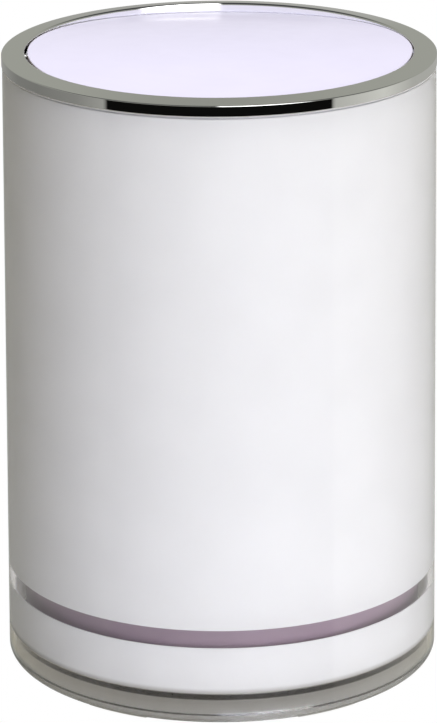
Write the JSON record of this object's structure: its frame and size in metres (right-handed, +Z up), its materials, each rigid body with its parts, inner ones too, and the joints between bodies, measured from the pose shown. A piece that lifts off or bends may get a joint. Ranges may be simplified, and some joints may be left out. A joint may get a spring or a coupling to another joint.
{
  "type": "swing-lid waste bin",
  "caption": "Upright round bathroom waste bin: clear tube coated white inside, chrome ring, pivoting disc lid, lift-out inner bucket.",
  "frame": {"origin": "on the floor at the centre of the base", "axes": "+Z up along the tube's axis, X along the lid's hinge pins, -Y towards the viewer"},
  "size_m": [0.19, 0.19, 0.2735],
  "materials": {
    "clear_acrylic": "polished, clear",
    "white_coat": "white lacquer seen through the clear wall",
    "foot_rubber": "translucent soft rubber",
    "bucket_plastic": "satin mauve-grey",
    "chrome": "mirror",
    "gasket": "satin",
    "plug_plastic": "satin",
    "screw_steel": "zinc plated",
    "nylon": "satin",
    "lid_plastic": "high gloss, pale lavender white",
    "pin_steel": "polished",
    "weight_steel": "plain"
  },
  "bodies": {
    "shell": {"outer_shell": "clear_acrylic", "white_coat_upper": "white_coat", "white_coat_lower": "white_coat", "base_tray": "clear_acrylic", "foot_pads": "foot_rubber"},
    "bucket": {"inner_bucket": "bucket_plastic"},
    "collar": {"chrome_ring": "chrome", "rim_gasket": "gasket", "collar_plug": "plug_plastic", "plug_seal": "gasket", "plug_screws": "screw_steel", "left_hinge_bush": "nylon", "right_hinge_bush": "nylon"},
    "lid": {"lid_cap": "lid_plastic", "lid_pan": "lid_plastic", "counterweight": "weight_steel", "pan_screws": "screw_steel", "left_hinge_pin": "pin_steel", "right_hinge_pin": "pin_steel", "left_thrust_washer": "nylon", "right_thrust_washer": "nylon"}
  },
  "joints": [
    {"name": "collar_lift", "type": "slide", "parent": "shell", "child": "collar", "axis": [0, 0, 1], "range_m": [0, 0.3]},
    {"name": "bucket_lift", "type": "slide", "parent": "shell", "child": "bucket", "axis": [0, 0, 1], "range_m": [0, 0.258]},
    {"name": "lid_swing", "type": "hinge", "parent": "collar", "child": "lid", "pos_m": [0, 0, 0.2703], "axis": [1, 0, 0], "continuous": true}
  ],
  "couplings": [
    {"joint": "bucket_lift", "follows": "collar_lift", "ratio": 0.86}
  ]
}
